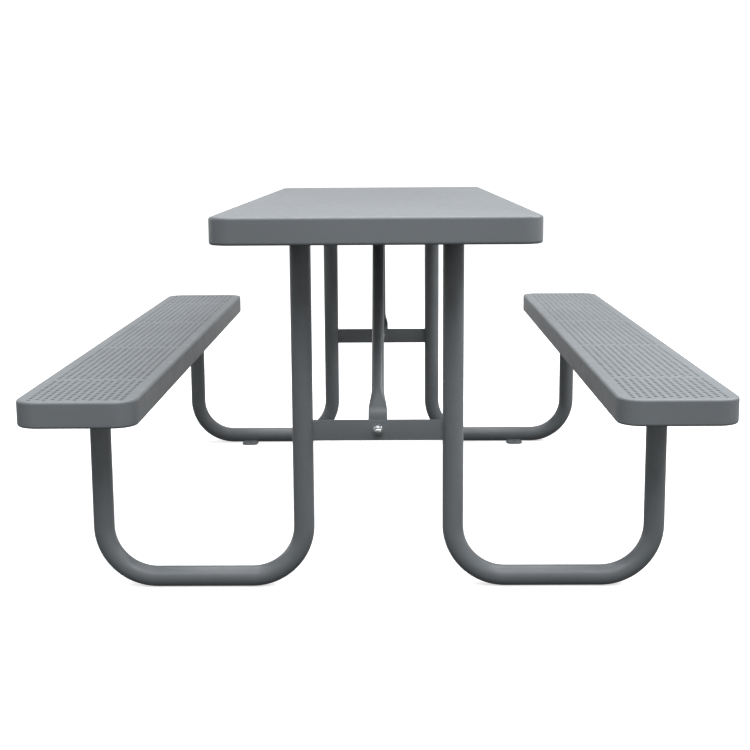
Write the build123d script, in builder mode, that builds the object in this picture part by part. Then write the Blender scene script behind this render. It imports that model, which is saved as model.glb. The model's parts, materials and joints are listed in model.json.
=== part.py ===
from build123d import *
from math import radians, sin
import os

# Steel picnic table: a plain pan top, two perforated pan seats, two end frames of bent tube.
# Millimetres. +Z up, +Y along the table, origin on the floor under the middle of the top.

# ---------------------------------------------------------------- driving dimensions

# Table top
table_height = 762.0
top_width = 610.0
top_length = 1829.0
top_skirt = 51.0
top_corner_radius = 42.0

# Seats
seat_height = 427.0
seat_width = 228.0
seat_length = 1829.0
seat_skirt = 51.0
seat_corner_radius = 44.0
seat_offset = 559.0  # middle of the table to the middle of a seat

# Pressed sheet that the top and the seats are folded from
sheet = 3.0
fold_radius = 5.0  # outside radius of every folded edge
lip_width = 18.0  # inward return along the bottom of a skirt

# Perforation of the seats: staggered rows that run along the seat
hole_diameter = 8.0
rib_spacing = 448.0  # from one cross rib, and one unpunched strip, to the next
holes_per_bay = 26  # holes of one row between two unpunched strips
side_border = 27.0  # least distance from an outer row to the seat's side
end_border = 24.0  # least distance from the last holes to the seat's end

# End frames of bent round tube
frame_step = 15.0  # end rib to the end frame beyond it
upright_offset = 151.0  # middle of the table to an inner upright
tube_diameter = 42.0
tube_wall = 2.5
bend_radius = 107.0  # to the tube's centreline

# Flat crossbar between the inner uprights
crossbar_height = 42.0
crossbar_thickness = 6.0
crossbar_level = 324.5  # floor to the bar's middle

# Diagonal braces: round tube with flattened ends
brace_diameter = 25.4
brace_wall = 2.0
brace_tab_thickness = 4.5
brace_tab_width = 38.0
brace_tab_reach = 36.0  # bolt to the bend
brace_tab_end = 18.0  # bolt to the sheared end
brace_flare = 60.0  # length over which the round tube flattens
vent_diameter = 5.0

# Cross ribs under the sheets
table_rib_width = 50.0
table_rib_depth = 25.0
seat_rib_crown = 16.0
seat_rib_flange = 24.0
seat_rib_depth = 20.0
rib_sheet = 2.5
rib_bend = 4.0
rib_end_gap = 5.0  # rib's end to the skirt's lip

# Mounting plates on the uprights' ends
plate_thickness = 5.0
plate_corner = 8.0
plate_bolt_gap = 14.0  # tube to the middle of a bolt beside it
plate_bolt_margin = 17.0  # middle of a bolt to the plate's end
table_plate_width = 66.0
seat_plate_width = 78.0

# Floor anchor tabs
tab_setback = 159.0  # middle of a seat to a tab
tab_width = 46.0
tab_thickness = 5.0
tab_reach = 53.0  # tube's centreline to the tab's free edge
tab_root = 10.0  # tube's centreline to the tab's edge under the tube
tab_corner = 14.0
anchor_hole = 14.0
anchor_hole_offset = 35.0  # tube's centreline to the hole

# M10 fasteners
bolt_diameter = 10.0
bolt_clearance = 1.0  # hole less bolt
thread_clearance = 0.1  # nut's bore less bolt
hex_across_flats = 16.0
head_height = 6.4
nut_height = 8.4
thread_beyond_nut = 2.0
washer_diameter = 21.0
washer_thickness = 2.0
cap_nut_flats = 17.0
cap_nut_hex = 8.0
cap_nut_dome = 7.5

# ---------------------------------------------------------------- what follows from them

bolt_hole = bolt_diameter + bolt_clearance
nut_bore = bolt_diameter + thread_clearance
tube_radius = tube_diameter / 2

hole_pitch = rib_spacing / (holes_per_bay + 1)
row_spacing = hole_pitch * sin(radians(60))
hole_rows = int((seat_width - 2 * side_border) / row_spacing) + 1
rib_lines = [(i - 1.5) * rib_spacing for i in range(4)]
end_rib = rib_lines[3]
inner_rib = rib_lines[2]
holes_at_end = int((seat_length / 2 - end_rib - end_border) / hole_pitch)
frame_offset = end_rib + frame_step
tab_offset = seat_offset - tab_setback

table_web_underside = table_height - sheet - table_rib_depth
table_upright_top = table_web_underside - plate_thickness
seat_flange_underside = seat_height - sheet - seat_rib_depth
seat_upright_top = seat_flange_underside - plate_thickness
seat_rib_width = seat_rib_crown + 2 * seat_rib_flange
seat_bolt_line = (seat_rib_crown + seat_rib_flange) / 2
plate_offset = (frame_offset + end_rib) / 2
plate_bolt_spacing = tube_diameter + 2 * plate_bolt_gap
plate_length = plate_bolt_spacing + 2 * plate_bolt_margin

table_rib_length = top_width - 2 * (lip_width + rib_end_gap)
seat_rib_length = seat_width - 2 * (lip_width + rib_end_gap)

crossbar_half_length = upright_offset - tube_radius
crossbar_half = crossbar_thickness / 2
brace_foot_line = frame_offset - crossbar_half - brace_tab_thickness / 2
brace_foot_top = crossbar_level + brace_tab_reach
brace_head_level = table_web_underside - brace_tab_thickness / 2
brace_head_line = inner_rib + brace_tab_reach

side_names = {-1: "left", 1: "right"}
end_names = {-1: "front", 1: "rear"}
rib_names = ["front", "mid_front", "mid_rear", "rear"]

os.makedirs("parts", exist_ok=True)


def save(piece, name):
    piece.part.label = name
    export_step(piece.part, f"parts/{name}.step")


# ---------------------------------------------------------------- folded sheet pans


def rounded_block(middle, width, length, low, high, corner, edge):
    """A block with rounded corners in plan and rounded top and bottom edges."""
    with BuildPart() as block:
        with BuildSketch(Plane.XY.offset(low)):
            with Locations((middle, 0)):
                RectangleRounded(width, length, corner)
        extrude(amount=high - low)
        flat_faces = block.faces().filter_by(Axis.Z)
        fillet(flat_faces.edges(), edge)
    return block.part


def folded_pan(middle, width, length, low, high, corner):
    """The sheet shell: top, skirt all round, and a lip turned in under the skirt."""
    inner_width = width - 2 * sheet
    inner_length = length - 2 * sheet
    mouth_width = width - 2 * lip_width
    mouth_length = length - 2 * lip_width
    outside = rounded_block(middle, width, length, low, high, corner, fold_radius)
    inside = rounded_block(
        middle, inner_width, inner_length, low + sheet, high - sheet,
        corner - sheet, fold_radius - sheet,
    )
    with BuildPart() as pan:
        add(outside)
        add(inside, mode=Mode.SUBTRACT)
        with BuildSketch(Plane.XY.offset(low)):
            with Locations((middle, 0)):
                RectangleRounded(mouth_width, mouth_length, corner - lip_width)
        extrude(amount=2 * sheet, mode=Mode.SUBTRACT)
    return pan


def row_holes(middle, row):
    """Centres of one row's holes: the hole over each cross rib is left out."""
    across = middle + (row - (hole_rows - 1) / 2) * row_spacing
    stagger = hole_pitch / 4 if row % 2 else -hole_pitch / 4
    left_out = [round(line / hole_pitch - 0.5) for line in rib_lines]
    first = left_out[0] - holes_at_end
    last = left_out[-1] + holes_at_end
    numbers = [n for n in range(first, last + 1) if n not in left_out]
    return [(across, (n + 0.5) * hole_pitch + stagger) for n in numbers]


def make_table_top():
    low = table_height - top_skirt
    pan = folded_pan(0, top_width, top_length, low, table_height, top_corner_radius)
    save(pan, "table_top")


def make_seat(side):
    middle = side * seat_offset
    low = seat_height - seat_skirt
    pan = folded_pan(middle, seat_width, seat_length, low, seat_height, seat_corner_radius)
    with BuildPart() as seat:
        add(pan.part)
        with BuildSketch(Plane.XY.offset(seat_height)):
            for row in range(hole_rows):
                with Locations(*row_holes(middle, row)):
                    Circle(hole_diameter / 2)
        extrude(amount=-2 * sheet, mode=Mode.SUBTRACT)
    save(seat, f"{side_names[side]}_seat")


# ---------------------------------------------------------------- cross ribs


def table_rib(line, bolt_places, name):
    """A channel under the top, open upwards, its flanges welded to the sheet."""
    top = table_web_underside + table_rib_depth
    inner_width = table_rib_width - 2 * rib_sheet
    middle = table_web_underside + table_rib_depth / 2
    with BuildPart() as rib:
        with BuildSketch(Plane.YZ.offset(-table_rib_length / 2)):
            with Locations((line, middle)):
                Rectangle(table_rib_width, table_rib_depth)
        extrude(amount=table_rib_length)
        low_edges = rib.edges().filter_by(Axis.X).group_by(Axis.Z)[0]
        fillet(low_edges, rib_bend)
        with BuildSketch(Plane.YZ.offset(-table_rib_length / 2)) as hollow:
            with Locations((line, top)):
                Rectangle(inner_width, 2 * (table_rib_depth - rib_sheet))
            fillet(hollow.vertices().group_by(Axis.Y)[0], rib_bend - rib_sheet)
        extrude(amount=table_rib_length, mode=Mode.SUBTRACT)
        with BuildSketch(Plane.XY.offset(table_web_underside)):
            with Locations(*bolt_places):
                Circle(bolt_hole / 2)
        extrude(amount=rib_sheet, mode=Mode.SUBTRACT)
    save(rib, name)


def seat_rib(side, line, bolt_places, name):
    """A top-hat section under a seat: its crown is welded to the unpunched strip."""
    crown = seat_flange_underside + seat_rib_depth
    start = side * seat_offset - seat_rib_length / 2
    half_width = seat_rib_width / 2
    half_crown = seat_rib_crown / 2
    inner_crown = half_crown - rib_sheet
    with BuildPart() as rib:
        with BuildSketch(Plane.YZ.offset(start)) as section:
            with BuildLine():
                Polyline(
                    (line - half_width, seat_flange_underside),
                    (line - half_width, seat_flange_underside + rib_sheet),
                    (line - half_crown, seat_flange_underside + rib_sheet),
                    (line - half_crown, crown),
                    (line + half_crown, crown),
                    (line + half_crown, seat_flange_underside + rib_sheet),
                    (line + half_width, seat_flange_underside + rib_sheet),
                    (line + half_width, seat_flange_underside),
                    (line + inner_crown, seat_flange_underside),
                    (line + inner_crown, crown - rib_sheet),
                    (line - inner_crown, crown - rib_sheet),
                    (line - inner_crown, seat_flange_underside),
                    close=True,
                )
            make_face()
            fillet(section.vertices().group_by(Axis.Y)[-1], rib_bend - rib_sheet)
        extrude(amount=seat_rib_length)
        if bolt_places:
            with BuildSketch(Plane.XY.offset(seat_flange_underside)):
                with Locations(*bolt_places):
                    Circle(bolt_hole / 2)
            extrude(amount=rib_sheet, mode=Mode.SUBTRACT)
    save(rib, name)


def table_bolt_places(end):
    """Two bolts beside each inner upright, on the end rib's middle line."""
    return [
        (side * upright_offset + step, end * end_rib)
        for side in (-1, 1)
        for step in (-plate_bolt_spacing / 2, plate_bolt_spacing / 2)
    ]


def seat_bolt_places(side, end):
    """Four bolts about an outer upright, two through each flange of the end rib."""
    return [
        (side * seat_offset + step, end * end_rib + line)
        for step in (-plate_bolt_spacing / 2, plate_bolt_spacing / 2)
        for line in (-seat_bolt_line, seat_bolt_line)
    ]


def make_ribs():
    for index, line in enumerate(rib_lines):
        end = 1 if line > 0 else -1
        at_frame = index in (0, 3)
        table_places = table_bolt_places(end) if at_frame else [(0, line)]
        table_rib(line, table_places, f"table_rib_{rib_names[index]}")
        for side in (-1, 1):
            seat_places = seat_bolt_places(side, end) if at_frame else []
            name = f"{side_names[side]}_seat_rib_{rib_names[index]}"
            seat_rib(side, line, seat_places, name)


# ---------------------------------------------------------------- end frames


def make_leg(side, end):
    """One bent tube: up to the seat outside, along the floor, up to the top inside."""
    # The sketch plane's first direction points outwards and its second one up.
    frame_plane = Plane((0, end * frame_offset, 0), x_dir=(side, 0, 0), z_dir=(0, -side, 0))
    with BuildPart() as leg:
        with BuildLine(frame_plane):
            route = FilletPolyline(
                (seat_offset, seat_upright_top),
                (seat_offset, tube_radius),
                (upright_offset, tube_radius),
                (upright_offset, table_upright_top),
                radius=bend_radius,
            )
        with BuildSketch(Plane(origin=route @ 0, z_dir=route % 0)):
            Circle(tube_radius)
            Circle(tube_radius - tube_wall, mode=Mode.SUBTRACT)
        sweep()
    save(leg, f"{end_names[end]}_{side_names[side]}_leg")


def mounting_plate(middle, line, level, length, width, bolt_places, name):
    with BuildPart() as plate:
        with BuildSketch(Plane.XY.offset(level)):
            with Locations((middle, line)):
                RectangleRounded(length, width, plate_corner)
            with Locations(*bolt_places):
                Circle(bolt_hole / 2, mode=Mode.SUBTRACT)
        extrude(amount=plate_thickness)
    save(plate, name)


def make_mounting_plates(side, end):
    prefix = f"{end_names[end]}_{side_names[side]}"
    line = end * plate_offset
    table_middle = side * upright_offset
    table_places = [p for p in table_bolt_places(end) if p[0] * side > 0]
    mounting_plate(
        table_middle, line, table_upright_top, plate_length, table_plate_width,
        table_places, f"{prefix}_table_plate",
    )
    mounting_plate(
        side * seat_offset, line, seat_upright_top, plate_length, seat_plate_width,
        seat_bolt_places(side, end), f"{prefix}_seat_plate",
    )


def make_anchor_tab(side, end):
    """A floor tab welded to the tube's inboard side, hollowed to fit the tube."""
    middle = side * tab_offset
    free_edge = end * (frame_offset - tab_reach)
    root_edge = end * (frame_offset - tab_root)
    hole_line = end * (frame_offset - anchor_hole_offset)
    with BuildPart() as tab:
        with BuildSketch() as outline:
            with Locations((middle, (free_edge + root_edge) / 2)):
                Rectangle(tab_width, abs(root_edge - free_edge))
            free_corners = outline.vertices().sort_by_distance((middle, 0))[:2]
            fillet(free_corners, tab_corner)
            with Locations((middle, hole_line)):
                Circle(anchor_hole / 2, mode=Mode.SUBTRACT)
        extrude(amount=tab_thickness)
        with BuildSketch(Plane.YZ.offset(middle)):
            with Locations((end * frame_offset, tube_radius)):
                Circle(tube_radius)
        extrude(amount=tab_width, both=True, mode=Mode.SUBTRACT)
    save(tab, f"{end_names[end]}_{side_names[side]}_anchor_tab")


def make_crossbar(end):
    """A flat bar on edge between the inner uprights, drilled for the brace's bolt."""
    with BuildPart() as bar:
        with BuildSketch(Plane.XZ.offset(-end * frame_offset)):
            with Locations((0, crossbar_level)):
                Rectangle(2 * crossbar_half_length, crossbar_height)
                Circle(bolt_hole / 2, mode=Mode.SUBTRACT)
        extrude(amount=crossbar_half, both=True)
    save(bar, f"{end_names[end]}_crossbar")


# ---------------------------------------------------------------- diagonal braces


def flat_section(plane):
    """The flattened tube's section: flat sides and round edges."""
    half_width = brace_tab_width / 2
    half = brace_tab_thickness / 2
    side = half_width - half
    with BuildSketch(plane) as section:
        with BuildLine():
            Line((-side, half), (side, half))
            ThreePointArc((side, half), (half_width, 0), (side, -half))
            Line((side, -half), (-side, -half))
            ThreePointArc((-side, -half), (-half_width, 0), (-side, half))
        make_face()
    return section.sketch


def round_section(plane):
    """The round tube's outline in four arcs that match the flat section's four edges."""
    radius = brace_diameter / 2
    with BuildSketch(plane) as section:
        with BuildLine():
            for start in (135, 45, -45, -135):
                CenterArc((0, 0), radius, start, -90)
        make_face()
    return section.sketch


def make_brace(end):
    """A tube with flattened ends, from the crossbar's middle up to an inner rib."""
    across = Vector(1, 0, 0)
    foot = Vector(0, end * brace_foot_line, brace_foot_top)
    head = Vector(0, end * brace_head_line, brace_head_level)
    slope = (head - foot).normalized()
    round_start = foot + slope * brace_flare
    round_end = head - slope * brace_flare
    round_length = (round_end - round_start).length
    foot_end = Plane(foot, x_dir=across, z_dir=(0, 0, 1))
    head_end = Plane(head, x_dir=across, z_dir=(0, -end, 0))
    start_plane = Plane(round_start, x_dir=across, z_dir=slope)
    end_plane = Plane(round_end, x_dir=across, z_dir=slope)
    foot_face = Plane((0, end * brace_foot_line, crossbar_level), x_dir=across,
                      z_dir=(0, -1, 0))
    head_face = Plane((0, end * inner_rib, brace_head_level), x_dir=across)
    tab_length = brace_tab_reach + brace_tab_end
    with BuildPart() as brace:
        loft([flat_section(foot_end), round_section(start_plane)])
        extrude(round_section(start_plane), amount=round_length)
        loft([round_section(end_plane), flat_section(head_end)])
        extrude(flat_section(foot_end), amount=-tab_length)
        extrude(flat_section(head_end), amount=tab_length)
        with BuildSketch(foot_face, head_face):
            Circle(bolt_hole / 2)
        extrude(amount=brace_tab_thickness, both=True, mode=Mode.SUBTRACT)
        with BuildSketch(start_plane):
            Circle(brace_diameter / 2 - brace_wall)
        extrude(amount=round_length, mode=Mode.SUBTRACT)
        vent_place = round_start + slope * brace_diameter
        with BuildSketch(Plane(vent_place, x_dir=across, z_dir=(0, 0, -1))):
            Circle(vent_diameter / 2)
        extrude(amount=brace_diameter, mode=Mode.SUBTRACT)
    save(brace, f"{end_names[end]}_brace")


# ---------------------------------------------------------------- fasteners


def upright_bolts(level, places, grip, name):
    """Hexagon bolts that point up, their heads bearing on what lies at the level."""
    with BuildPart() as bolts:
        with BuildSketch(Plane.XY.offset(level)):
            with Locations(*places):
                RegularPolygon(hex_across_flats / 2, 6, major_radius=False)
        extrude(amount=-head_height)
        with BuildSketch(Plane.XY.offset(level)):
            with Locations(*places):
                Circle(bolt_diameter / 2)
        extrude(amount=grip + nut_height + thread_beyond_nut)
    save(bolts, name)


def upright_nuts(level, places, name):
    with BuildPart() as nuts:
        with BuildSketch(Plane.XY.offset(level)):
            with Locations(*places):
                RegularPolygon(hex_across_flats / 2, 6, major_radius=False)
                Circle(nut_bore / 2, mode=Mode.SUBTRACT)
        extrude(amount=nut_height)
    save(nuts, name)


def make_plate_fasteners():
    grip = plate_thickness + rib_sheet
    table_places = table_bolt_places(-1) + table_bolt_places(1)
    seat_places = [
        place
        for side in (-1, 1)
        for end in (-1, 1)
        for place in seat_bolt_places(side, end)
    ]
    upright_bolts(table_upright_top, table_places, grip, "table_plate_bolts")
    upright_nuts(table_upright_top + grip, table_places, "table_plate_nuts")
    upright_bolts(seat_upright_top, seat_places, grip, "seat_plate_bolts")
    upright_nuts(seat_upright_top + grip, seat_places, "seat_plate_nuts")


def make_brace_head_fasteners():
    """A bolt, a washer and a captive nut hold each brace's head to an inner rib."""
    places = [(0, -inner_rib), (0, inner_rib)]
    head_level = table_web_underside - brace_tab_thickness - washer_thickness
    nut_level = table_web_underside + rib_sheet
    upright_bolts(head_level, places, nut_level - head_level, "brace_head_bolts")
    upright_nuts(nut_level, places, "brace_head_nuts")
    with BuildPart() as washers:
        with BuildSketch(Plane.XY.offset(head_level)):
            with Locations(*places):
                Circle(washer_diameter / 2)
                Circle(bolt_hole / 2, mode=Mode.SUBTRACT)
        extrude(amount=washer_thickness)
    save(washers, "brace_head_washers")


def foot_plane(end, line):
    """Square to the brace's foot bolt and facing outwards, at a distance from the middle."""
    return Plane((0, end * line, crossbar_level), x_dir=(1, 0, 0), z_dir=(0, end, 0))


def make_brace_foot_bolts():
    """The heads face inwards, on a washer against the brace."""
    head_line = frame_offset - crossbar_half - brace_tab_thickness - washer_thickness
    cap_nut_line = frame_offset + crossbar_half + washer_thickness
    with BuildPart() as bolts:
        for end in (-1, 1):
            with BuildSketch(foot_plane(end, head_line)):
                RegularPolygon(hex_across_flats / 2, 6, major_radius=False)
            extrude(amount=-head_height)
            with BuildSketch(foot_plane(end, head_line)):
                Circle(bolt_diameter / 2)
            extrude(amount=cap_nut_line + cap_nut_hex - head_line)
    save(bolts, "brace_foot_bolts")


def make_brace_foot_washers():
    inner_line = frame_offset - crossbar_half - brace_tab_thickness - washer_thickness
    outer_line = frame_offset + crossbar_half
    with BuildPart() as washers:
        for end in (-1, 1):
            for line in (inner_line, outer_line):
                with BuildSketch(foot_plane(end, line)):
                    Circle(washer_diameter / 2)
                    Circle(bolt_hole / 2, mode=Mode.SUBTRACT)
                extrude(amount=washer_thickness)
    save(washers, "brace_foot_washers")


def make_brace_foot_cap_nuts():
    """Domed nuts on the outer faces of the crossbars: hexagon, dome and blind bore."""
    seat_line = frame_offset + crossbar_half + washer_thickness
    dome_base = seat_line + cap_nut_hex
    dome_radius = cap_nut_flats / 2
    with BuildPart() as nuts:
        for end in (-1, 1):
            with BuildSketch(foot_plane(end, seat_line)):
                RegularPolygon(cap_nut_flats / 2, 6, major_radius=False)
            extrude(amount=cap_nut_hex)
            profile = Plane((0, end * dome_base, crossbar_level), x_dir=(1, 0, 0),
                            z_dir=(0, 0, end))
            with BuildSketch(profile):
                with BuildLine():
                    Line((0, 0), (dome_radius, 0))
                    Bezier(
                        (dome_radius, 0), (dome_radius, cap_nut_dome),
                        (dome_radius / 2, cap_nut_dome), (0, cap_nut_dome),
                    )
                    Line((0, cap_nut_dome), (0, 0))
                make_face()
            revolve(axis=Axis((0, 0, crossbar_level), (0, 1, 0)))
            with BuildSketch(foot_plane(end, seat_line)):
                Circle(nut_bore / 2)
            extrude(amount=cap_nut_hex + thread_beyond_nut, mode=Mode.SUBTRACT)
    save(nuts, "brace_foot_cap_nuts")


# ---------------------------------------------------------------- the whole table

make_table_top()
for side in (-1, 1):
    make_seat(side)
make_ribs()
for end in (-1, 1):
    for side in (-1, 1):
        make_leg(side, end)
        make_mounting_plates(side, end)
        make_anchor_tab(side, end)
    make_crossbar(end)
    make_brace(end)
make_plate_fasteners()
make_brace_head_fasteners()
make_brace_foot_bolts()
make_brace_foot_washers()
make_brace_foot_cap_nuts()
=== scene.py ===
"""Steel picnic table: powder-coated folded sheet and bent tube, in a pale studio.

Metres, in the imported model's frame: +Z up, +Y along the table, origin on the floor.
Shapes below are worked out in millimetres and scaled when a mesh is made.
"""

import json
from math import atan2, cos, pi, radians, sin, sqrt, tau

import bmesh
import bpy
from mathutils import Matrix, Vector


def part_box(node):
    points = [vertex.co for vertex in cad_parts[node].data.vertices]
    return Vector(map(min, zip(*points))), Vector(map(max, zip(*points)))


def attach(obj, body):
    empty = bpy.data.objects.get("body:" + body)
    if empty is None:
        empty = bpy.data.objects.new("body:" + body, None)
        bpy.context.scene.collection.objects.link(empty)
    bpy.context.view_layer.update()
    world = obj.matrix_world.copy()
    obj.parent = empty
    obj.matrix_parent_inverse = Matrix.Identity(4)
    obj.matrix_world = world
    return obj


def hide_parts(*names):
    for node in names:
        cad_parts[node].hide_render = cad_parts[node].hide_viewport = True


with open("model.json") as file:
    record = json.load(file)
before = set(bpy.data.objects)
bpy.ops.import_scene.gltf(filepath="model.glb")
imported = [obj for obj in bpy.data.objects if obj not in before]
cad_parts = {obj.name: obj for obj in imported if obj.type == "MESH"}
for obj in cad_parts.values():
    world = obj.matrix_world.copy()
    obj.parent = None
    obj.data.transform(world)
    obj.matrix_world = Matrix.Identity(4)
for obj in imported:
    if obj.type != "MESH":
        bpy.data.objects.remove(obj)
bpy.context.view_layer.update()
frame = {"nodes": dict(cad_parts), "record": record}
scene = bpy.context.scene

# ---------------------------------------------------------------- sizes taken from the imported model


def corners(node):
    low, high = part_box(node)
    return low * 1000, high * 1000


table_low, table_high = corners("table_top")
seat_low, seat_high = corners("right_seat")
leg_low, leg_high = corners("rear_right_leg")
bar_low, bar_high = corners("rear_crossbar")
table_plate_low, table_plate_high = corners("rear_right_table_plate")
seat_plate_low = corners("rear_right_seat_plate")[0]
tab_low, tab_high = corners("rear_right_anchor_tab")
cap_low, cap_high = corners("brace_foot_cap_nuts")
brace_high = corners("rear_brace")[1]
inner_rib_low, inner_rib_high = corners("table_rib_mid_rear")
end_rib_low, end_rib_high = corners("table_rib_rear")

TUBE_RADIUS = (leg_high.y - leg_low.y) / 2
FRAME_LINE = (leg_high.y + leg_low.y) / 2
UPRIGHT = (table_plate_low.x + table_plate_high.x) / 2
SEAT_MIDDLE = (seat_low.x + seat_high.x) / 2
BAR_LEVEL = (bar_low.z + bar_high.z) / 2
END_RIB = (end_rib_low.y + end_rib_high.y) / 2
INNER_RIB = (inner_rib_low.y + inner_rib_high.y) / 2
RIB_LINES = (-END_RIB, -INNER_RIB, INNER_RIB, END_RIB)

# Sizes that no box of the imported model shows
SHEET = 3.0
FOLD = 5.0  # outside radius of a folded edge
LIP = 18.0  # inward return under a skirt
TABLE_CORNER = 42.0
SEAT_CORNER = 44.0
BEND = 107.0  # of a leg, to the tube's centreline
HOLE = 8.0
HOLE_ROWS = 13
HOLES_PER_BAY = 26  # holes of one row between two plain strips
HOLES_AT_END = 13  # holes of one row beyond the last plain strip
PITCH = 2 * INNER_RIB / (HOLES_PER_BAY + 1)
ROW_SPACING = PITCH * sin(radians(60))


# ---------------------------------------------------------------- mesh helpers


def make_piece(name, points, faces, material, replaced=(), angle=25):
    """A mesh piece in the frame, with its edges sharp above an angle."""
    mesh = bpy.data.meshes.new(name)
    mesh.from_pydata([(x / 1000, y / 1000, z / 1000) for x, y, z in points], [], faces)
    mesh.validate()
    shape = bmesh.new()
    shape.from_mesh(mesh)
    bmesh.ops.recalc_face_normals(shape, faces=shape.faces)
    shape.to_mesh(mesh)
    shape.free()
    mesh.shade_smooth()
    mesh.set_sharp_from_angle(angle=radians(angle))
    mesh.materials.append(material)
    piece = bpy.data.objects.new(name, mesh)
    scene.collection.objects.link(piece)
    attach(piece, "root")
    if replaced:
        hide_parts(*replaced)
    return piece


class Shape:
    """Points and faces that several forms are gathered into before they become a piece."""

    def __init__(self):
        self.points = []
        self.faces = []

    def add(self, points, faces, turn=None):
        start = len(self.points)
        if turn:
            points = [tuple(turn @ Vector(p)) for p in points]
        self.points.extend(tuple(p) for p in points)
        self.faces.extend(tuple(i + start for i in face) for face in faces)

    def add_rings(self, rings, closed=False, turn=None):
        """Skins rings of equal length; open rows of rings get flat ends."""
        count = len(rings[0])
        total = len(rings)
        points = [point for ring in rings for point in ring]
        faces = []
        for i in range(total if closed else total - 1):
            k = (i + 1) % total
            for j in range(count):
                m = (j + 1) % count
                faces.append((i * count + j, i * count + m, k * count + m, k * count + j))
        if not closed:
            faces.append(tuple(range(count)))
            faces.append(tuple((total - 1) * count + j for j in reversed(range(count))))
        self.add(points, faces, turn)

    def piece(self, name, material, slot, replaced=(), angle=25):
        return make_piece(name, self.points, self.faces, material, replaced, angle)


def arc(middle_a, middle_b, radius, start, end, steps):
    """Points of an arc in a profile's plane, angles in degrees."""
    return [
        (middle_a + radius * cos(radians(start + (end - start) * i / steps)),
         middle_b + radius * sin(radians(start + (end - start) * i / steps)))
        for i in range(steps + 1)
    ]


def circle(radius, steps):
    return [(radius * cos(tau * i / steps), radius * sin(tau * i / steps)) for i in range(steps)]


def turned(profile, steps):
    """Rings of a profile of (radius, height) pairs turned about the upright axis."""
    return [[(x, y, height) for x, y in circle(radius, steps)] for radius, height in profile]


def stations(places, step):
    """Values from the first to the last place with a point at each, closely enough spaced."""
    values = [places[0]]
    for a, b in zip(places, places[1:]):
        count = max(1, round((b - a) / step))
        values.extend(a + (b - a) * (i + 1) / count for i in range(count))
    return values


# ---------------------------------------------------------------- folded sheet pans


def pan_path(width, length, corner, step):
    """Base points and outward directions round a rectangle with rounded corners."""
    half_x = width / 2 - corner
    half_y = length / 2 - corner
    turn_steps = 12
    path = []
    for x, y, start in ((half_x, half_y, 0), (-half_x, half_y, 90),
                        (-half_x, -half_y, 180), (half_x, -half_y, 270)):
        for i in range(turn_steps + 1):
            angle = radians(start + 90 * i / turn_steps)
            path.append((x, y, cos(angle), sin(angle)))
        along = {0: (-1, 0), 90: (0, -1), 180: (1, 0), 270: (0, 1)}[start]
        run = 2 * half_x if along[0] else 2 * half_y
        count = max(1, round(run / step))
        angle = radians(start + 90)
        for i in range(1, count):
            part = run * i / count
            path.append((x + along[0] * part, y + along[1] * part, cos(angle), sin(angle)))
    return path


def pan_profile(low, high):
    """(inset, height) from the top's edge, down the skirt, round the lip and back up inside."""
    hold = 1.5  # flat kept beside a fold, so that its shading stays on the fold
    blunt = 0.6
    outer = FOLD
    inner = FOLD - SHEET
    outer_steps, inner_steps = 7, 5
    profile = [(outer + hold, high)]
    profile += [(outer - a, high - outer + b) for a, b in arc(0, 0, outer, 90, 0, outer_steps)]
    profile += [(0, high - outer - hold), (0, low + outer + hold)]
    profile += [(outer - a, low + outer + b) for a, b in arc(0, 0, outer, 0, -90, outer_steps)]
    profile += [(outer + hold, low), (LIP - blunt, low), (LIP, low + blunt)]
    profile += [(LIP, low + SHEET - blunt), (LIP - blunt, low + SHEET)]
    profile += [(outer + hold, low + SHEET)]
    profile += [(outer - a, low + outer + b) for a, b in arc(0, 0, inner, -90, 0, inner_steps)]
    profile += [(outer - a, high - outer + b) for a, b in arc(0, 0, inner, 0, 90, inner_steps)]
    profile += [(outer + hold, high - SHEET)]
    return profile


def pan_rings(width, length, corner, low, high, step):
    """A folded pan as rings from the edge of its flat top round to the flat's underside."""
    path = pan_path(width, length, corner, step)
    return [
        [(x + nx * (corner - inset), y + ny * (corner - inset), height) for x, y, nx, ny in path]
        for inset, height in pan_profile(low, high)
    ]


def make_table_top():
    shape = Shape()
    step = 60.0
    rings = pan_rings(
        table_high.x - table_low.x, table_high.y - table_low.y, TABLE_CORNER,
        table_low.z, table_high.z, step,
    )
    shape.add_rings(rings)
    shape.piece("top_sheet", sheet_coat, "table_sheet", ["table_top"])


def zip_loops(outer, inner):
    """Triangles between two loops round one centre; each entry is (angle, index)."""
    faces = []
    i = j = 0
    while i < len(outer) or j < len(inner):
        next_outer = outer[i + 1][0] if i + 1 < len(outer) else outer[0][0] + tau
        next_inner = inner[j + 1][0] if j + 1 < len(inner) else inner[0][0] + tau
        if j >= len(inner) or (i < len(outer) and next_outer <= next_inner):
            faces.append((outer[i][1], outer[(i + 1) % len(outer)][1], inner[j % len(inner)][1]))
            i += 1
        else:
            faces.append((outer[i % len(outer)][1], inner[(j + 1) % len(inner)][1], inner[j][1]))
            j += 1
    return faces


def border_triangles(loops):
    """Flat triangles between an outer loop of (x, y) and the loops inside it."""
    shape = bmesh.new()
    edges = []
    for loop in loops:
        points = [shape.verts.new((x, y, 0)) for x, y in loop]
        edges += [shape.edges.new((a, b)) for a, b in zip(points, points[1:] + points[:1])]
    shape.verts.index_update()
    bmesh.ops.triangle_fill(shape, use_beauty=True, edges=edges, normal=(0, 0, 1))
    faces = [tuple(v.index for v in face.verts) for face in shape.faces]
    shape.free()
    return faces


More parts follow.
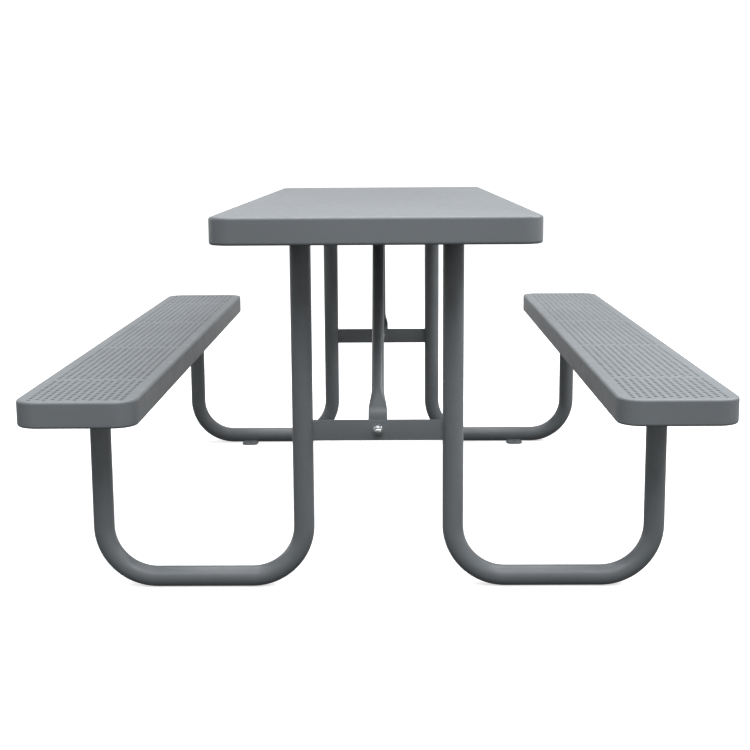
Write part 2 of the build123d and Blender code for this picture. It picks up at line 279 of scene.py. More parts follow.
def seat_mesh(high, low, width, length):
    """The punched seat pan about its own middle, as points and faces."""
    points = []
    faces = []
    index = {}

    def vertex(x, y, z):
        """The number of the point at a place, made once."""
        key = (round(x, 3), round(y, 3), round(z, 3))
        if key not in index:
            index[key] = len(points)
            points.append((x, y, z))
        return index[key]

    half_row = ROW_SPACING / 2
    half_pitch = PITCH / 2
    radius = HOLE / 2
    rolled = 0.5  # rounding of a hole's upper rim
    around = 16
    turns = [tau * (i + 0.5) / around for i in range(around)]
    left_out = [round(line / PITCH - 0.5) for line in RIB_LINES]
    uses = {}
    cells = []
    for row in range(HOLE_ROWS):
        x = (row - (HOLE_ROWS - 1) / 2) * ROW_SPACING
        stagger = PITCH / 4 if row % 2 else -PITCH / 4
        for number in range(left_out[0] - HOLES_AT_END, left_out[-1] + HOLES_AT_END + 1):
            y = (number + 0.5) * PITCH + stagger
            rim = [(x + half_row, y + part) for part in (-half_pitch, 0, half_pitch)]
            rim += [(x - half_row, y + part) for part in (half_pitch, 0, -half_pitch)]
            cells.append((x, y, rim, number in left_out))
            for a, b in zip(rim, rim[1:] + rim[:1]):
                key = tuple(sorted((round(px, 3), round(py, 3)) for px, py in (a, b)))
                uses[key] = uses.get(key, 0) + 1

    for x, y, rim, plain in cells:
        rims = [[vertex(px, py, level) for px, py in rim] for level in (high, high - SHEET)]
        if plain:
            faces.append(tuple(rims[0]))
            faces.append(tuple(reversed(rims[1])))
            continue
        rings = []
        for ring_radius, level in ((radius + rolled, high), (radius, high - rolled),
                                   (radius, high - SHEET)):
            rings.append([
                vertex(x + ring_radius * cos(turn), y + ring_radius * sin(turn), level)
                for turn in turns
            ])
        rim_turns = [atan2(py - y, px - x) % tau for px, py in rim]
        order = sorted(range(6), key=lambda i: rim_turns[i])
        for level, ring in ((0, rings[0]), (1, rings[2])):
            outer = [(rim_turns[i], rims[level][i]) for i in order]
            inner = list(zip(turns, ring))
            faces.extend(zip_loops(outer, inner))
        for upper, lower in ((rings[0], rings[1]), (rings[1], rings[2])):
            for i in range(around):
                k = (i + 1) % around
                faces.append((upper[i], upper[k], lower[k], lower[i]))

    # The stepped edge of the punched field, put in order.
    links = {}
    for (a, b), count in uses.items():
        if count == 1:
            links.setdefault(a, []).append(b)
            links.setdefault(b, []).append(a)
    field = [next(iter(links))]
    before = None
    while True:
        ahead = [p for p in links[field[-1]] if p != before][0]
        before = field[-1]
        if ahead == field[0]:
            break
        field.append(ahead)

    rings = pan_rings(width, length, SEAT_CORNER, low, high, PITCH)
    count = len(rings[0])
    start = len(points)
    for ring in rings:
        points.extend(ring)
    for i in range(len(rings) - 1):
        for j in range(count):
            k = (j + 1) % count
            a, b = start + i * count, start + (i + 1) * count
            faces.append((a + j, a + k, b + k, b + j))
    outline = [(p[0], p[1]) for p in rings[0]]
    triangles = border_triangles([outline, field])
    for level, first in ((high, start), (high - SHEET, start + (len(rings) - 1) * count)):
        lookup = [first + i for i in range(count)]
        lookup += [index[(px, py, round(level, 3))] for px, py in field]
        faces.extend(tuple(lookup[i] for i in face) for face in triangles)
    return points, faces


def make_seats():
    points, faces = seat_mesh(
        seat_high.z, seat_low.z, seat_high.x - seat_low.x, seat_high.y - seat_low.y
    )
    for side, name in ((-1, "left"), (1, "right")):
        moved = [(x + side * SEAT_MIDDLE, y, z) for x, y, z in points]
        make_piece(f"{name}_seat_sheet", moved, faces, seat_coat, [f"{name}_seat"])


# ---------------------------------------------------------------- end frames


def bent_route(points, radius, steps, straight_step):
    """Points along straight runs joined by arcs, with the direction at each point."""
    runs = [Vector(p) for p in points]
    route = []
    for i, corner in enumerate(runs):
        if i in (0, len(runs) - 1):
            other = runs[1] if i == 0 else runs[-2]
            direction = (other - corner) if i == 0 else (corner - other)
            route.append((corner, direction.normalized()))
            continue
        before = (corner - runs[i - 1]).normalized()
        after = (runs[i + 1] - corner).normalized()
        start = corner - before * radius
        middle = start + after * radius
        for k in range(steps + 1):
            angle = pi / 2 * k / steps
            place = middle - after * radius * cos(angle) + before * radius * sin(angle)
            route.append((place, before * cos(angle) + after * sin(angle)))
    full = [route[0]]
    for (a, da), (b, db) in zip(route, route[1:]):
        gap = (b - a).length
        if gap > 2 * straight_step:
            count = int(gap // straight_step)
            full += [(a + (b - a) * k / count, da) for k in range(1, count)]
        full.append((b, db))
    return full


def tube_rings(route, radius, around, side):
    """Circles square to a route; the side vector is square to the route's plane."""
    rings = []
    for place, direction in route:
        other = direction.cross(side)
        rings.append([tuple(place + side * a + other * b) for a, b in circle(radius, around)])
    return rings


def make_legs():
    bend_steps, straight_step, around = 24, 60, 64
    for end, end_name in ((-1, "front"), (1, "rear")):
        for side, side_name in ((-1, "left"), (1, "right")):
            line = end * FRAME_LINE
            outer, inner = side * SEAT_MIDDLE, side * UPRIGHT
            route = bent_route(
                [(outer, line, seat_plate_low.z), (outer, line, TUBE_RADIUS),
                 (inner, line, TUBE_RADIUS), (inner, line, table_plate_low.z)],
                BEND, bend_steps, straight_step,
            )
            shape = Shape()
            shape.add_rings(tube_rings(route, TUBE_RADIUS, around, Vector((0, 1, 0))))
            name = f"{end_name}_{side_name}_leg"
            shape.piece(f"{name}_tube", tube_coat, "frame_tube", [name])


def rounded_bar(shape, low, high, blunt):
    """A bar along X with blunted long edges."""
    (x0, y0, z0), (x1, y1, z1) = low, high
    step, blunt_steps = 20, 4
    section = []
    for y, z, start in ((y1 - blunt, z1 - blunt, 0), (y0 + blunt, z1 - blunt, 90),
                        (y0 + blunt, z0 + blunt, 180), (y1 - blunt, z0 + blunt, 270)):
        section += arc(y, z, blunt, start, start + 90, blunt_steps)
    shape.add_rings([[(x, y, z) for y, z in section] for x in stations([x0, x1], step)])


def make_crossbars():
    blunt = 1.1
    for end, name in ((-1, "front"), (1, "rear")):
        shape = Shape()
        y0, y1 = sorted((end * bar_low.y, end * bar_high.y))
        rounded_bar(shape, (bar_low.x, y0, bar_low.z), (bar_high.x, y1, bar_high.z), blunt)
        shape.piece(f"{name}_bar", bar_coat, "frame_plate", [f"{name}_crossbar"])


def make_tabs():
    """Floor tabs with rounded free corners, a drilled hole and blunted edges."""
    middle = (tab_low.x + tab_high.x) / 2
    half = (tab_high.x - tab_low.x) / 2
    free, root = tab_low.y, tab_high.y
    into_tube = 6.0  # how far a tab stops short of its far edge, inside the tube
    rounding = 14.0
    thickness = tab_high.z
    hole_radius = 7.0
    hole_line = FRAME_LINE - 35.0  # the bolt stands this far in from the tube
    blunt = 0.7
    around, corner_steps = 32, 8
    for end, end_name in ((-1, "front"), (1, "rear")):
        for side, side_name in ((-1, "left"), (1, "right")):
            outline = [(half, root - into_tube), (-half, root - into_tube)]
            outline += [(-half + rounding + a, free + rounding + b)
                        for a, b in arc(0, 0, rounding, 180, 270, corner_steps)]
            outline += [(half - rounding + a, free + rounding + b)
                        for a, b in arc(0, 0, rounding, 270, 360, corner_steps)]
            hole = [(x, hole_line + y) for x, y in circle(hole_radius, around)]
            wide = [(x, hole_line + y) for x, y in circle(hole_radius + blunt, around)]
            centre = Vector((0, (free + root) / 2))
            inset = []
            for x, y in outline:
                pull = Vector((x, y)) - centre
                pull *= 1 - blunt / pull.length
                inset.append(tuple(centre + pull))
            shape = Shape()
            rims = [(outline, 0), (outline, thickness - blunt), (inset, thickness)]
            walls = [(hole, 0), (hole, thickness - blunt), (wide, thickness)]
            points, faces, starts = [], [], []
            for loop, level in rims + walls:
                starts.append(len(points))
                points += [(x, y, level) for x, y in loop]
            for group, count in ((starts[:3], len(outline)), (starts[3:], around)):
                for a, b in zip(group, group[1:]):
                    faces += [(a + i, a + (i + 1) % count, b + (i + 1) % count, b + i)
                              for i in range(count)]
            for level in (2, 0):  # the upper face, then the lower one
                triangles = border_triangles([rims[level][0], walls[level][0]])
                lookup = [starts[level] + i for i in range(len(outline))]
                lookup += [starts[len(rims) + level] + i for i in range(around)]
                faces += [tuple(lookup[i] for i in face) for face in triangles]
            shape.add([(side * middle + x, end * y, z) for x, y, z in points], faces)
            name = f"{end_name}_{side_name}_anchor_tab"
            shape.piece(f"{name}_plate", plate_coat, "frame_plate", [name], angle=30)


# ---------------------------------------------------------------- diagonal braces

BRACE_RADIUS = 12.7
BRACE_TAB_HALF = 19.0  # half the width of a flattened end
BRACE_TAB_THICK = 4.5
BRACE_REACH = 36.0  # bolt to the bend
BRACE_TAB_END = 18.0  # bolt to the sheared end
BRACE_FLARE = 60.0  # length over which the round tube flattens


def brace_section(blend, around):
    """A section of the brace, from a flattened strip at blend 0 to a round tube at blend 1."""
    section = []
    half = BRACE_TAB_THICK / 2
    across_power, through_power = 0.75, 0.22
    for c, s in circle(1, around):
        round_x, round_y = BRACE_RADIUS * c, BRACE_RADIUS * s
        flat_x = BRACE_TAB_HALF * (abs(c) ** across_power) * (1 if c >= 0 else -1)
        flat_y = half * (abs(s) ** through_power) * (1 if s >= 0 else -1)
        section.append((flat_x + (round_x - flat_x) * blend, flat_y + (round_y - flat_y) * blend))
    return section


def smooth(t):
    t = min(1.0, max(0.0, t))
    return t * t * (3 - 2 * t)


def brace_route(foot, head, end):
    """Places along a brace, each with its heading and how round the tube is there."""
    bend = 14.0  # length of straight that a bend takes from each side
    flare = BRACE_FLARE + 4
    corner_steps, tab_steps, flare_steps, middle_steps = 8, 12, 24, 16
    up = Vector((0, 0, 1))
    inwards = Vector((0, -end, 0))
    slope = (head - foot).normalized()
    run = (head - foot).length
    start = Vector((0, foot.y, BAR_LEVEL - BRACE_TAB_END))
    finish = Vector((0, end * (INNER_RIB - BRACE_TAB_END), head.z))
    route = []

    def foot_blend(spot):
        return smooth(((spot - foot).dot(slope)) / BRACE_FLARE)

    def head_blend(spot):
        return smooth(((head - spot).dot(slope)) / BRACE_FLARE)

    def corner(place, before, after, blend):
        for k in range(corner_steps + 1):
            t = k / corner_steps
            a = place - before * bend
            b = place + after * bend
            spot = a * (1 - t) ** 2 + place * 2 * t * (1 - t) + b * t * t
            heading = (before * (1 - t) + after * t).normalized()
            route.append((spot, heading, blend(spot)))

    for k in range(tab_steps):
        route.append((start + up * (foot.z - bend - start.z) * k / tab_steps, up, 0.0))
    corner(foot, up, slope, foot_blend)
    for k in range(1, flare_steps + 1):
        spot = foot + slope * (bend + (flare - bend) * k / flare_steps)
        route.append((spot, slope, foot_blend(spot)))
    for k in range(1, middle_steps):
        distance = flare + (run - 2 * flare) * k / middle_steps
        route.append((foot + slope * distance, slope, 1.0))
    for k in range(flare_steps + 1):
        spot = foot + slope * (run - flare + (flare - bend) * k / (flare_steps + 1))
        route.append((spot, slope, head_blend(spot)))
    corner(head, slope, inwards, head_blend)
    near = head + inwards * bend
    for k in range(1, tab_steps + 1):
        route.append((near + (finish - near) * k / tab_steps, inwards, 0.0))
    return route


def make_braces():
    """Tubes with pressed ends: one stands against the crossbar, one lies under a rib."""
    around = 64
    corner_cut = 9.0  # rounding of a flattened end's free corners
    side = Vector((1, 0, 0))
    for end, name in ((-1, "front"), (1, "rear")):
        foot = Vector((0, end * (brace_high.y - BRACE_TAB_THICK / 2), BAR_LEVEL + BRACE_REACH))
        head = Vector((0, end * (INNER_RIB + BRACE_REACH), brace_high.z - BRACE_TAB_THICK / 2))
        route = brace_route(foot, head, end)
        start, finish = route[0][0], route[-1][0]
        rings = []
        for spot, heading, blend in route:
            other = heading.cross(side)
            from_end = min((spot - start).length, (finish - spot).length)
            trim = 1.0
            if from_end < corner_cut:
                shortfall = corner_cut - sqrt(corner_cut ** 2 - (corner_cut - from_end) ** 2)
                trim = 1 - shortfall / BRACE_TAB_HALF
            rings.append([
                tuple(spot + side * x * trim + other * y) for x, y in brace_section(blend, around)
            ])
        shape = Shape()
        shape.add_rings(rings)
        shape.piece(f"{name}_brace_tube", tube_coat, "frame_tube", [f"{name}_brace"], angle=35)


# ---------------------------------------------------------------- fasteners

BOLT = 5.0  # radius of a shank
HEAD_FLATS = 16.0
HEAD_THICK = 6.4
CAP_FLATS = 17.0
CAP_HEXAGON = 8.0  # height of a cap nut's hexagon, below its dome
WASHER = 10.5
WASHER_BORE = 5.5
WASHER_THICK = 2.0


def hexagon_rings(flats, low, high, chamfer_low=True, chamfer_high=True):
    """A hexagon bar with its corners turned to a cone at one or both faces."""
    around = 72
    inner = flats / 2
    face = inner * 0.94
    slope = 0.5
    reach = []
    for i in range(around):
        angle = tau * i / around
        local = (angle + pi / 6) % (pi / 3) - pi / 6
        reach.append((angle, inner / cos(local)))
    rings = []

    def ring(scale, level):
        rings.append([(r * scale(r) * cos(a), r * scale(r) * sin(a), level(r)) for a, r in reach])

    if chamfer_low:
        ring(lambda r: face / r, lambda r: low)
        ring(lambda r: 1, lambda r: low + (r - face) * slope)
    else:
        ring(lambda r: 1, lambda r: low)
    if chamfer_high:
        ring(lambda r: 1, lambda r: high - (r - face) * slope)
        ring(lambda r: face / r, lambda r: high)
    else:
        ring(lambda r: 1, lambda r: high)
    return rings


def washer_rings(low, high):
    blunt = 0.35
    outer, bore = WASHER, WASHER_BORE
    profile = [
        (outer - blunt, low), (outer, low + blunt), (outer, high - blunt), (outer - blunt, high),
        (bore + blunt, high), (bore, high - blunt), (bore, low + blunt), (bore + blunt, low),
    ]
    return turned(profile, 64)


def dome_rings(low, tip):
    """A cap nut's dome, from inside its hexagon to the small flat at its tip."""
    foot, shoulder = 8.3, 4.3
    rise, crown = 6.9, 7.0
    steps = 15
    profile = [(8.0, low - 1.0), (foot, low + 0.5)]
    for k in range(1, steps):
        t = k / steps
        x = foot * (1 - t) ** 3 + 3 * foot * t * (1 - t) ** 2 + 3 * shoulder * t * t * (1 - t)
        z = 3 * rise * t * (1 - t) ** 2 + 3 * crown * t * t * (1 - t) + crown * t ** 3
        profile.append((x, low + 0.5 + z))
    profile.append((0.25, tip))
    return turned(profile, 72)


def foot_turn(end):
    """Stands a form made along +Z at the crossbar's bolt, pointing out of the frame."""
    out = Vector((0, end, 0))
    side = Vector((1, 0, 0))
    turn = Matrix((side, out.cross(side), out)).transposed().to_4x4()
    return Matrix.Translation((0, 0, BAR_LEVEL)) @ turn


def upright_bolts(name, node, places):
    """Bolts that stand in a row of places, heads down."""
    low, high = corners(node)
    level = low.z + HEAD_THICK
    point = 0.8
    shape = Shape()
    for x, y in places:
        turn = Matrix.Translation((x, y, 0))
        shape.add_rings(hexagon_rings(HEAD_FLATS, low.z, level, chamfer_high=False), turn=turn)
        shank = [(BOLT, level - 1), (BOLT, high.z - point), (BOLT - point, high.z)]
        shape.add_rings(turned(shank, 32), turn=turn)
    shape.piece(name, plating, "zinc_fasteners", [node], angle=28)


def make_fasteners():
    caps, washers, heads = Shape(), Shape(), Shape()
    cap_seat = bar_high.y + WASHER_THICK
    cap_top = cap_seat + CAP_HEXAGON
    head_seat = bar_low.y - BRACE_TAB_THICK - WASHER_THICK
    for end in (-1, 1):
        turn = foot_turn(end)
        tip = cap_high.y if end > 0 else -cap_low.y
        caps.add_rings(hexagon_rings(CAP_FLATS, cap_seat, cap_top), turn=turn)
        caps.add_rings(dome_rings(cap_top, tip), turn=turn)
        for low in (bar_high.y, head_seat):
            washers.add_rings(washer_rings(low, low + WASHER_THICK), closed=True, turn=turn)
        heads.add_rings(
            hexagon_rings(HEAD_FLATS, head_seat - HEAD_THICK, head_seat, chamfer_high=False),
            turn=turn,
        )
        heads.add_rings(turned([(BOLT, head_seat - 1), (BOLT, cap_seat + 4)], 32), turn=turn)
    caps.piece("foot_cap_nuts", plating, "zinc_fasteners", ["brace_foot_cap_nuts"], angle=28)
    washers.piece("foot_washers", plating, "zinc_fasteners", ["brace_foot_washers"], angle=28)
    heads.piece("foot_bolts", plating, "zinc_fasteners", ["brace_foot_bolts"], angle=28)

    across, along = 35.0, 20.0  # tube's middle to a bolt beside it
    upright_bolts("table_bolts", "table_plate_bolts", [
        (side * UPRIGHT + a, end * END_RIB)
        for side in (-1, 1) for end in (-1, 1) for a in (-across, across)
    ])
    upright_bolts("seat_bolts", "seat_plate_bolts", [
        (side * SEAT_MIDDLE + a, end * END_RIB + b)
        for side in (-1, 1) for end in (-1, 1) for a in (-across, across) for b in (-along, along)
    ])
    upright_bolts("head_bolts", "brace_head_bolts", [(0, -INNER_RIB), (0, INNER_RIB)])
    low, high = corners("brace_head_washers")
    shape = Shape()
    for end in (-1, 1):
        turn = Matrix.Translation((0, end * INNER_RIB, 0))
        shape.add_rings(washer_rings(low.z, high.z), closed=True, turn=turn)
    shape.piece("head_washers", plating, "zinc_fasteners", ["brace_head_washers"], angle=28)


# ---------------------------------------------------------------- weld beads


def bead(shape, route, size, closed=False, across=(0, 0, 1)):
    """A rippled bead along close-set points, thinner at its free ends."""
    count = len(route)
    around = 12
    ripple_length = 2.6
    taper = 5
    rings = []
    travelled = 0.0
    for i, place in enumerate(route):
        ahead = route[(i + 1) % count] if closed or i < count - 1 else place
        back = route[i - 1] if closed or i > 0 else place
        heading = (ahead - back).normalized()
        if i:
            travelled += (place - route[i - 1]).length
        side = heading.cross(Vector(across)).normalized()
        other = heading.cross(side)
        swell = 1 + 0.09 * sin(tau * travelled / ripple_length)
        swell += 0.03 * sin(travelled * 0.9 + i * 0.01)
        if not closed:
            from_end = min(i, count - 1 - i)
            swell *= min(1.0, 0.35 + 0.65 * sqrt(min(1.0, from_end / taper)))
        rings.append([
            tuple(place + side * a + other * b) for a, b in circle(size * swell, around)
        ])
    shape.add_rings(rings, closed=closed)


def straight(start, end, step=0.65):
    start, end = Vector(start), Vector(end)
    count = max(6, round((end - start).length / step))
    return [start + (end - start) * i / count for i in range(count + 1)]


def level_bead(shape, x, y, z, half, size, step=0.65):
    """A bead along X about its middle."""
    bead(shape, straight((x - half, y, z), (x + half, y, z), step), size)


FRAME_SIDES = [(end, side) for end in (-1, 1) for side in (-1, 1)]


def make_welds():
    shape = Shape()
    size = 2.3
    off_middle = 3.4
    for end, side in FRAME_SIDES:
        for face in (-1, 1):
            x = side * (bar_high.x - 0.6)
            y = end * FRAME_LINE + face * off_middle
            route = straight((x, y, bar_low.z + 1), (x, y, bar_high.z - 1))
            bead(shape, route, size, across=(0, 1, 0))
    shape.piece("crossbar_welds", tube_coat, "frame_tube", angle=60)

    shape = Shape()
    size = 2.4
    sunk = 0.9
    around = 210
    for end, side in FRAME_SIDES:
        for middle, level in ((UPRIGHT, table_plate_low.z), (SEAT_MIDDLE, seat_plate_low.z)):
            route = [
                Vector((side * middle + x, end * FRAME_LINE + y, level - sunk))
                for x, y in circle(TUBE_RADIUS + sunk, around)
            ]
            bead(shape, route, size, closed=True)
    shape.piece("plate_welds", tube_coat, "frame_tube", angle=60)

    shape = Shape()
    size = 2.3
    half = 20
    tab_middle = (tab_low.x + tab_high.x) / 2
    contact = sqrt(TUBE_RADIUS ** 2 - (TUBE_RADIUS - tab_high.z) ** 2)
    for end, side in FRAME_SIDES:
        y = end * (FRAME_LINE - contact - 1.2)
        level_bead(shape, side * tab_middle, y, tab_high.z + 0.4, half, size)
    shape.piece("tab_welds", plate_coat, "frame_plate", angle=60)

    shape = Shape()
    step = 0.8
    size = 2.0
    off_line = 25.4
    for line in RIB_LINES:
        for face in (-1, 1):
            for x in (-240, -120, 0, 120, 240):
                y = line + face * off_line
                level_bead(shape, x, y, table_high.z - SHEET - 0.5, 13, size, step)
    size = 1.7
    off_line = 8.3
    for line in RIB_LINES:
        for face in (-1, 1):
            for side in (-1, 1):
                for x in (-65, 0, 65):
                    y = line + face * off_line
                    z = seat_high.z - SHEET - 0.4
                    level_bead(shape, side * SEAT_MIDDLE + x, y, z, 11, size, step)
    shape.piece("rib_welds", plate_coat, "frame_plate", angle=60)


# ---------------------------------------------------------------- camera and studio


def make_camera():
    """Stands off the front end, a little above the top, and looks down along the table."""
    place = (0.025, -3.3258, 0.8824)
    yaw, pitch, roll = -0.0114, 0.1674, 0.0066
    forward = Vector((sin(yaw) * cos(pitch), cos(yaw) * cos(pitch), -sin(pitch)))
    level_right = Vector((cos(yaw), -sin(yaw), 0))
    level_down = forward.cross(level_right)
    right = level_right * cos(roll) + level_down * sin(roll)
    down = level_down * cos(roll) - level_right * sin(roll)
    camera = bpy.data.objects.new("camera", bpy.data.cameras.new("camera"))
    camera.data.lens = 64.36
    camera.data.sensor_width = 36
    camera.data.clip_end = 200
    turn = Matrix((right, -down, -forward)).transposed().to_4x4()
    camera.matrix_world = Matrix.Translation(place) @ turn
    scene.collection.objects.link(camera)
    scene.camera = camera


def area_light(name, place, target, width, height, power, colour):
    light = bpy.data.lights.new(name, "AREA")
    light.shape = "RECTANGLE"
    light.size = width
    light.size_y = height
    light.energy = power
    light.color = colour
    lamp = bpy.data.objects.new(name, light)
    lamp.location = place
    lamp.rotation_euler = (Vector(target) - Vector(place)).to_track_quat("-Z", "Y").to_euler()
    lamp.visible_camera = False
    scene.collection.objects.link(lamp)


# How bright the studio is at each sine of the height above the horizon: the wall behind
# the table, and the room in front of it.
BACK_WALL = [(-1.0, 0.05), (-0.50, 0.08), (-0.28, 0.30), (-0.10, 0.55), (-0.03, 1.0), (0.13, 1.0),
             (0.19, 0.18), (0.40, 0.18), (0.55, 0.85), (0.8, 0.85), (1.0, 0.8)]
FRONT_ROOM = [(-1.0, 0.05), (-0.08, 0.08), (-0.03, 0.62), (0.10, 0.62), (0.30, 0.50), (0.6, 0.40),
              (0.8, 0.6), (1.0, 0.8)]
BACKDROP = 1.05
LEAN = 0.10  # tilts the bright bands up towards the right
BEHIND = (0.2, 0.8)  # where the front room gives way to the back wall


def make_sky():
    """The studio's walls, and a plain white backdrop where the camera sees past the table."""
    world = bpy.data.worlds.new("studio")
    world.use_nodes = True
    tree = world.node_tree
    nodes, links = tree.nodes, tree.links
    background = nodes["Background"]
    place = nodes.new("ShaderNodeTexCoord")
    height = nodes.new("ShaderNodeVectorMath")
    height.operation = "DOT_PRODUCT"
    height.inputs[1].default_value = (LEAN, 0, 1)
    links.new(place.outputs["Generated"], height.inputs[0])
    lift = nodes.new("ShaderNodeMapRange")
    lift.inputs["From Min"].default_value = -1.0
    links.new(height.outputs["Value"], lift.inputs["Value"])
    ramps = []
    for levels in (FRONT_ROOM, BACK_WALL):
        ramp = nodes.new("ShaderNodeValToRGB")
        links.new(lift.outputs[0], ramp.inputs["Fac"])
        stops = ramp.color_ramp.elements
        for level_height, level in levels[1:-1]:
            stops.new((level_height + 1) / 2)
        for stop, (level_height, level) in zip(stops, levels):
            stop.position = (level_height + 1) / 2
            stop.color = (level, level, level, 1)
        ramps.append(ramp)
    split = nodes.new("ShaderNodeSeparateXYZ")
    links.new(place.outputs["Generated"], split.inputs[0])
    behind = nodes.new("ShaderNodeMapRange")
    behind.inputs["From Min"].default_value = BEHIND[0]
    behind.inputs["From Max"].default_value = BEHIND[1]
    links.new(split.outputs["Y"], behind.inputs["Value"])
    blend = nodes.new("ShaderNodeMixRGB")
    links.new(behind.outputs[0], blend.inputs["Fac"])
    links.new(ramps[0].outputs["Color"], blend.inputs["Color1"])
    links.new(ramps[1].outputs["Color"], blend.inputs["Color2"])
    seen = nodes.new("ShaderNodeLightPath")
    plain = nodes.new("ShaderNodeMixRGB")
    plain.inputs["Color2"].default_value = (BACKDROP, BACKDROP, BACKDROP, 1)
    links.new(seen.outputs["Is Camera Ray"], plain.inputs["Fac"])
    links.new(blend.outputs["Color"], plain.inputs["Color1"])
    links.new(plain.outputs["Color"], background.inputs["Color"])
    background.inputs["Strength"].default_value = 1.0
    scene.world = world


def make_floor():
    """A pale floor that shows and takes soft shadows, and sends no light back up."""
    mesh = bpy.data.meshes.new("floor")
    half = 90.0
    square = [(-half, -half, 0), (half, -half, 0), (half, half, 0), (-half, half, 0)]
    mesh.from_pydata(square, [], [(0, 1, 2, 3)])
    floor = bpy.data.objects.new("floor", mesh)
    material = bpy.data.materials.new("pale_floor")
    material.use_nodes = True
    shader = material.node_tree.nodes["Principled BSDF"]
    shader.inputs["Base Color"].default_value = (0.93, 0.93, 0.93, 1)
    shader.inputs["Roughness"].default_value = 1.0
    shader.inputs["Specular IOR Level"].default_value = 0.0
    shader.inputs["Emission Color"].default_value = (1, 1, 1, 1)
    shader.inputs["Emission Strength"].default_value = 0.62
    mesh.materials.append(material)
    floor.visible_diffuse = False
    floor.visible_glossy = False
    scene.collection.objects.link(floor)


def make_studio():
    make_sky()
    make_floor()
    area_light("overhead", (0.45, 0.2, 3.4), (0.45, 0.2, 0), 4.0, 4.5, 158, (0.98, 0.98, 1.0))
    area_light("front_high", (0.3, -3.6, 3.4), (0, -0.3, 0.4), 3.6, 1.8, 80, (0.95, 0.98, 1.0))
    area_light("right_high", (3.0, -0.2, 2.7), (0, 0, 0.3), 2.4, 1.2, 62, (1.0, 1.0, 1.0))
    area_light("left_panel", (-3.2, 1.4, 1.0), (0, 0.2, 0.4), 2.4, 1.0, 5, (1.0, 0.98, 0.97))
    scene.view_settings.view_transform = "Standard"
    scene.view_settings.look = "None"


# ---------------------------------------------------------------- materials

GREY = (0.182, 0.197, 0.208)
SHEET_GREY = (0.172, 0.186, 0.197)
SEAT_GREY = (0.188, 0.203, 0.215)


def powder_coat(name, base, grain, peel_height, gloss, dusting, mottling=0.35, hole_low=None):
    """Satin powder coat: fine orange peel, slow colour drift, faint specks and dust.

    Upright faces above hole_low, which are the walls of the holes, come out darker: painted shade in
    the holes.
    """
    material = bpy.data.materials.new(name)
    material.use_nodes = True
    tree = material.node_tree
    nodes, links = tree.nodes, tree.links
    shader = nodes["Principled BSDF"]
    place = nodes.new("ShaderNodeTexCoord")

    def noise(scale, detail, rough=0.5):
        node = nodes.new("ShaderNodeTexNoise")
        node.inputs["Scale"].default_value = scale
        node.inputs["Detail"].default_value = detail
        node.inputs["Roughness"].default_value = rough
        links.new(place.outputs["Object"], node.inputs["Vector"])
        return node.outputs["Fac"]

    def spread(source, low, high, low_value, high_value):
        node = nodes.new("ShaderNodeMapRange")
        for key, value in (("From Min", low), ("From Max", high), ("To Min", low_value),
                           ("To Max", high_value)):
            node.inputs[key].default_value = value
        links.new(source, node.inputs["Value"])
        return node.outputs[0]

    def mix(amount, first, second, mode="MIX"):
        node = nodes.new("ShaderNodeMixRGB")
        node.blend_type = mode
        links.new(amount, node.inputs["Fac"])
        for key, value in (("Color1", first), ("Color2", second)):
            if isinstance(value, tuple):
                node.inputs[key].default_value = (*value, 1)
            else:
                links.new(value, node.inputs[key])
        return node.outputs["Color"]

    def hole_wall_shade():
        """One on the upright walls of the holes, which get painted shade."""
        shape = nodes.new("ShaderNodeNewGeometry")
        facing = nodes.new("ShaderNodeSeparateXYZ")
        links.new(shape.outputs["True Normal"], facing.inputs[0])
        steepness = nodes.new("ShaderNodeMath")
        steepness.operation = "ABSOLUTE"
        links.new(facing.outputs["Z"], steepness.inputs[0])
        upright = spread(steepness.outputs[0], 0.05, 0.15, 1.0, 0.0)
        where = nodes.new("ShaderNodeSeparateXYZ")
        links.new(shape.outputs["Position"], where.inputs[0])
        in_sheet = spread(where.outputs["Z"], hole_low - 0.0002, hole_low + 0.0002, 0.0, 1.0)
        both = nodes.new("ShaderNodeMath")
        both.operation = "MULTIPLY"
        links.new(upright, both.inputs[0])
        links.new(in_sheet, both.inputs[1])
        return both.outputs[0]

    deep = tuple(c * 0.94 for c in base)
    pale = tuple(c * 1.06 for c in base)
    drift = noise(2.1, 2.0)
    mottle = noise(46.0, 3.0)
    specks = noise(900.0, 2.0)
    dust = noise(120.0, 6.0, 0.72)
    tone = mix(spread(drift, 0.35, 0.65, 0.0, 1.0), deep, pale)
    tone = mix(spread(mottle, 0.4, 0.7, 0.0, mottling), tone, (0.88, 0.88, 0.88), "MULTIPLY")
    tone = mix(spread(specks, 0.60, 0.72, 0.0, 0.35), tone, tuple(c * 1.5 for c in base))
    tone = mix(spread(dust, 0.58, 0.80, 0.0, dusting), tone, (0.42, 0.42, 0.41))
    if hole_low:
        # painted shade: the walls of the holes are multiplied down to 0.30 of their colour, so the
        # holes read darker
        tone = mix(hole_wall_shade(), tone, (0.30, 0.30, 0.30), "MULTIPLY")
    links.new(tone, shader.inputs["Base Color"])
    links.new(spread(mottle, 0.3, 0.7, gloss - 0.03, gloss + 0.05), shader.inputs["Roughness"])

    peel = nodes.new("ShaderNodeBump")
    peel.inputs["Strength"].default_value = 0.5
    peel.inputs["Distance"].default_value = peel_height
    links.new(noise(grain, 2.0, 0.45), peel.inputs["Height"])
    links.new(peel.outputs["Normal"], shader.inputs["Normal"])
    return material


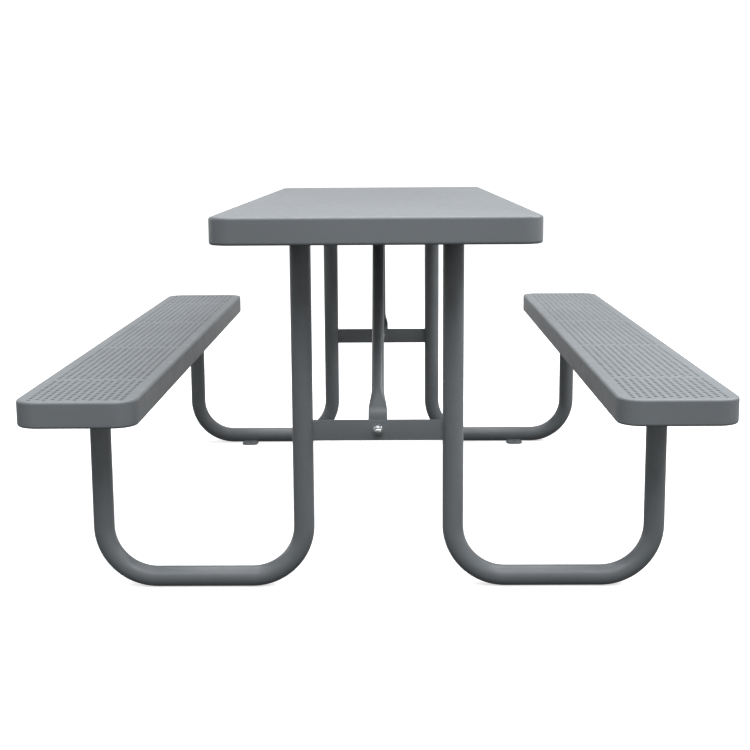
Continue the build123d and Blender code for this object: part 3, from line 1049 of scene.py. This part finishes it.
def zinc():
    """Bright zinc plating: faint patches and fine scratches."""
    material = bpy.data.materials.new("zinc_plate")
    material.use_nodes = True
    tree = material.node_tree
    nodes, links = tree.nodes, tree.links
    shader = nodes["Principled BSDF"]
    place = nodes.new("ShaderNodeTexCoord")
    patches = nodes.new("ShaderNodeTexNoise")
    patches.inputs["Scale"].default_value = 240.0
    patches.inputs["Detail"].default_value = 3.0
    links.new(place.outputs["Object"], patches.inputs["Vector"])
    tone = nodes.new("ShaderNodeMixRGB")
    tone.inputs["Color1"].default_value = (0.96, 0.96, 0.97, 1)
    tone.inputs["Color2"].default_value = (0.80, 0.81, 0.83, 1)
    links.new(patches.outputs["Fac"], tone.inputs["Fac"])
    links.new(tone.outputs["Color"], shader.inputs["Base Color"])
    gloss = nodes.new("ShaderNodeMapRange")
    gloss.inputs["To Min"].default_value = 0.12
    gloss.inputs["To Max"].default_value = 0.32
    links.new(patches.outputs["Fac"], gloss.inputs["Value"])
    links.new(gloss.outputs[0], shader.inputs["Roughness"])
    scratch = nodes.new("ShaderNodeTexNoise")
    scratch.inputs["Scale"].default_value = 2600.0
    links.new(place.outputs["Object"], scratch.inputs["Vector"])
    bump = nodes.new("ShaderNodeBump")
    bump.inputs["Strength"].default_value = 0.25
    bump.inputs["Distance"].default_value = 0.00004
    links.new(scratch.outputs["Fac"], bump.inputs["Height"])
    links.new(bump.outputs["Normal"], shader.inputs["Normal"])
    shader.inputs["Metallic"].default_value = 1.0
    return material


# ---------------------------------------------------------------- the whole scene

make_camera()
make_studio()
# the seat's hole walls above this level get painted shade
hole_end = (seat_high.z - SHEET + 0.1) / 1000
sheet_coat = powder_coat("coat_on_table_sheet", SHEET_GREY, 620.0, 0.00010, 0.38, 0.05, 0.12)
seat_coat = powder_coat("coat_on_seat_sheet", SEAT_GREY, 640.0, 0.00010, 0.40, 0.08, 0.2, hole_end)
tube_coat = powder_coat("coat_on_tube", GREY, 700.0, 0.00009, 0.36, 0.08)
bar_coat = powder_coat("coat_on_bar", GREY, 560.0, 0.00013, 0.44, 0.10)
plate_coat = powder_coat("coat_on_plate", GREY, 560.0, 0.00012, 0.42, 0.14)
plating = zinc()

slots = {part["node"]: part["material_slot"] for part in frame["record"]["subparts"]}
finishes = {
    "table_sheet": sheet_coat,
    "seat_sheet": seat_coat,
    "frame_tube": tube_coat,
    "frame_plate": plate_coat,
    "zinc_fasteners": plating,
}
for name, node in frame["nodes"].items():
    node.data.materials.clear()
    node.data.materials.append(finishes[slots[name]])

make_table_top()
make_seats()
make_legs()
make_crossbars()
make_tabs()
make_braces()
make_fasteners()
make_welds()
